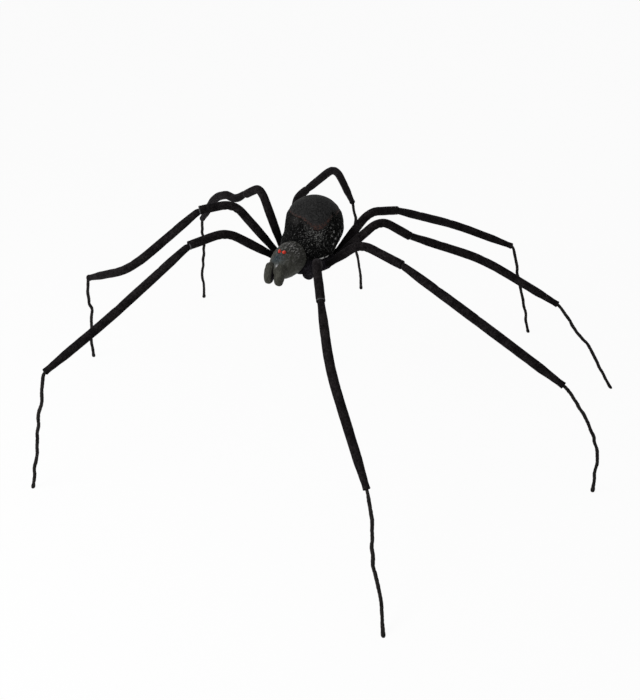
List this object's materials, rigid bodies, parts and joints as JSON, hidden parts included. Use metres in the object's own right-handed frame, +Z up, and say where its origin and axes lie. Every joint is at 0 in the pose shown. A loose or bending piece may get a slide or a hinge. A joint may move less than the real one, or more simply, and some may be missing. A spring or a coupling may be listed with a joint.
{
  "type": "posable spider prop",
  "caption": "Posable spider prop with stuffed velour legs on wire cores, a velour thorax cushion, a moulded head with jaw lobes and a domed abdomen.",
  "frame": {"origin": "on the floor, below the middle of the box round the whole spider", "axes": "+Z up, -Y the way the head points, +X the spider's own left"},
  "size_m": [1.2747, 1.2297, 0.5025],
  "materials": {
    "velour": "short-pile velour",
    "wrap": "wrapped cloth tape",
    "black_shell": "rough crinkled gloss",
    "charcoal_cap": "fine matte",
    "olive_shell": "brushed matte",
    "red_eye": "gloss paint",
    "steel": "drawn wire",
    "wood": "plain"
  },
  "bodies": {
    "body": {"abdomen_shell": "black_shell", "abdomen_cap": "charcoal_cap", "head_shell": "olive_shell", "jaw_left": "olive_shell", "jaw_right": "olive_shell", "eyes": "red_eye", "body_dowel": "wood", "thorax_pad": "velour", "hub_plate": "wood", "hub_clamp": "wood", "hub_screws": "steel", "wire_roots": "steel"},
    "left1_coxa": {"left1_coxa_sleeve": "velour", "left1_coxa_wire": "steel"},
    "left1_shank": {"left1_femur_sleeve": "velour", "left1_tibia_sleeve": "velour", "left1_shank_wire": "steel"},
    "left1_foot": {"left1_tarsus": "wrap"},
    "left2_coxa": {"left2_coxa_sleeve": "velour", "left2_coxa_wire": "steel"},
    "left2_shank": {"left2_femur_sleeve": "velour", "left2_tibia_sleeve": "velour", "left2_shank_wire": "steel"},
    "left2_foot": {"left2_tarsus": "wrap"},
    "left3_coxa": {"left3_coxa_sleeve": "velour", "left3_coxa_wire": "steel"},
    "left3_shank": {"left3_femur_sleeve": "velour", "left3_tibia_sleeve": "velour", "left3_shank_wire": "steel"},
    "left3_foot": {"left3_tarsus": "wrap"},
    "left4_coxa": {"left4_coxa_sleeve": "velour", "left4_coxa_wire": "steel"},
    "left4_shank": {"left4_femur_sleeve": "velour", "left4_tibia_sleeve": "velour", "left4_shank_wire": "steel"},
    "left4_foot": {"left4_tarsus": "wrap"},
    "right1_coxa": {"right1_coxa_sleeve": "velour", "right1_coxa_wire": "steel"},
    "right1_shank": {"right1_femur_sleeve": "velour", "right1_tibia_sleeve": "velour", "right1_shank_wire": "steel"},
    "right1_foot": {"right1_tarsus": "wrap"},
    "right2_coxa": {"right2_coxa_sleeve": "velour", "right2_coxa_wire": "steel"},
    "right2_shank": {"right2_femur_sleeve": "velour", "right2_tibia_sleeve": "velour", "right2_shank_wire": "steel"},
    "right2_foot": {"right2_tarsus": "wrap"},
    "right3_coxa": {"right3_coxa_sleeve": "velour", "right3_coxa_wire": "steel"},
    "right3_shank": {"right3_femur_sleeve": "velour", "right3_tibia_sleeve": "velour", "right3_shank_wire": "steel"},
    "right3_foot": {"right3_tarsus": "wrap"},
    "right4_coxa": {"right4_coxa_sleeve": "velour", "right4_coxa_wire": "steel"},
    "right4_shank": {"right4_femur_sleeve": "velour", "right4_tibia_sleeve": "velour", "right4_shank_wire": "steel"},
    "right4_foot": {"right4_tarsus": "wrap"}
  },
  "joints": [
    {"name": "left1_hip", "type": "hinge", "parent": "body", "child": "left1_coxa", "pos_m": [-0.00243, -0.03108, 0.38], "axis": [0.9063, 0.4226, 0], "range_deg": [-12, 38]},
    {"name": "left1_knee", "type": "hinge", "parent": "left1_coxa", "child": "left1_shank", "pos_m": [0.04085, -0.1239, 0.43912], "axis": [0.9063, 0.4226, 0], "range_deg": [-50, 20]},
    {"name": "left1_ankle", "type": "hinge", "parent": "left1_shank", "child": "left1_foot", "pos_m": [0.32132, -0.43838, 0.16054], "axis": [0.8192, 0.5736, 0], "range_deg": [-25, 45]},
    {"name": "left2_hip", "type": "hinge", "parent": "body", "child": "left2_coxa", "pos_m": [0.00816, -0.00612, 0.38], "axis": [0.1736, 0.9848, 0], "range_deg": [-12, 40]},
    {"name": "left2_knee", "type": "hinge", "parent": "left2_coxa", "child": "left2_shank", "pos_m": [0.08926, -0.02042, 0.4491], "axis": [0.1736, 0.9848, 0], "range_deg": [-40, 30]},
    {"name": "left2_ankle", "type": "hinge", "parent": "left2_shank", "child": "left2_foot", "pos_m": [0.56326, -0.05205, 0.25244], "axis": [-0.5, 0.866, 0], "range_deg": [-25, 45]},
    {"name": "left3_hip", "type": "hinge", "parent": "body", "child": "left3_coxa", "pos_m": [0.00816, 0.02099, 0.38], "axis": [-0.6428, 0.766, 0], "range_deg": [-12, 38]},
    {"name": "left3_knee", "type": "hinge", "parent": "left3_coxa", "child": "left3_shank", "pos_m": [0.08386, 0.08451, 0.46292], "axis": [-0.6428, 0.766, 0], "range_deg": [-65, 5]},
    {"name": "left3_ankle", "type": "hinge", "parent": "left3_shank", "child": "left3_foot", "pos_m": [0.41889, 0.344, 0.22215], "axis": [-0.5, 0.866, 0], "range_deg": [-25, 45]},
    {"name": "left4_hip", "type": "hinge", "parent": "body", "child": "left4_coxa", "pos_m": [-0.00243, 0.04595, 0.38], "axis": [-0.9063, 0.4226, 0], "range_deg": [-8, 38]},
    {"name": "left4_knee", "type": "hinge", "parent": "left4_coxa", "child": "left4_shank", "pos_m": [0.03585, 0.12805, 0.45601], "axis": [-0.9063, 0.4226, 0], "range_deg": [-45, 20]},
    {"name": "left4_ankle", "type": "hinge", "parent": "left4_shank", "child": "left4_foot", "pos_m": [0.2337, 0.533, 0.25558], "axis": [-0.8192, 0.5736, 0], "range_deg": [-25, 45]},
    {"name": "right1_hip", "type": "hinge", "parent": "body", "child": "right1_coxa", "pos_m": [-0.11451, -0.03108, 0.38], "axis": [0.766, -0.6428, 0], "range_deg": [-10, 40]},
    {"name": "right1_knee", "type": "hinge", "parent": "right1_coxa", "child": "right1_shank", "pos_m": [-0.18244, -0.11203, 0.45399], "axis": [0.766, -0.6428, 0], "range_deg": [-35, 30]},
    {"name": "right1_ankle", "type": "hinge", "parent": "right1_shank", "child": "right1_foot", "pos_m": [-0.36958, -0.51221, 0.2598], "axis": [0.866, -0.5, 0], "range_deg": [-25, 45]},
    {"name": "right2_hip", "type": "hinge", "parent": "body", "child": "right2_coxa", "pos_m": [-0.12511, -0.00612, 0.38], "axis": [0.342, -0.9397, 0], "range_deg": [-10, 48]},
    {"name": "right2_knee", "type": "hinge", "parent": "right2_coxa", "child": "right2_shank", "pos_m": [-0.20952, -0.03685, 0.48706], "axis": [0.342, -0.9397, 0], "range_deg": [-50, 20]},
    {"name": "right2_ankle", "type": "hinge", "parent": "right2_shank", "child": "right2_foot", "pos_m": [-0.57715, -0.10621, 0.25292], "axis": [-0.7071, -0.7071, 0], "range_deg": [-25, 45]},
    {"name": "right3_hip", "type": "hinge", "parent": "body", "child": "right3_coxa", "pos_m": [-0.12511, 0.02099, 0.38], "axis": [-0.4226, -0.9063, 0], "range_deg": [-10, 45]},
    {"name": "right3_knee", "type": "hinge", "parent": "right3_coxa", "child": "right3_shank", "pos_m": [-0.19775, 0.05487, 0.49448], "axis": [-0.4226, -0.9063, 0], "range_deg": [-70, 3]},
    {"name": "right3_ankle", "type": "hinge", "parent": "right3_shank", "child": "right3_foot", "pos_m": [-0.53351, 0.30967, 0.25726], "axis": [-0.766, -0.6428, 0], "range_deg": [-25, 45]},
    {"name": "right4_hip", "type": "hinge", "parent": "body", "child": "right4_coxa", "pos_m": [-0.11451, 0.04595, 0.38], "axis": [-0.9063, -0.4226, 0], "range_deg": [-12, 30]},
    {"name": "right4_knee", "type": "hinge", "parent": "right4_coxa", "child": "right4_shank", "pos_m": [-0.17428, 0.17412, 0.43147], "axis": [-0.9063, -0.4226, 0], "range_deg": [-15, 42]},
    {"name": "right4_ankle", "type": "hinge", "parent": "right4_shank", "child": "right4_foot", "pos_m": [-0.23539, 0.58091, 0.2629], "axis": [-0.9063, 0.4226, 0], "range_deg": [-25, 45]}
  ]
}
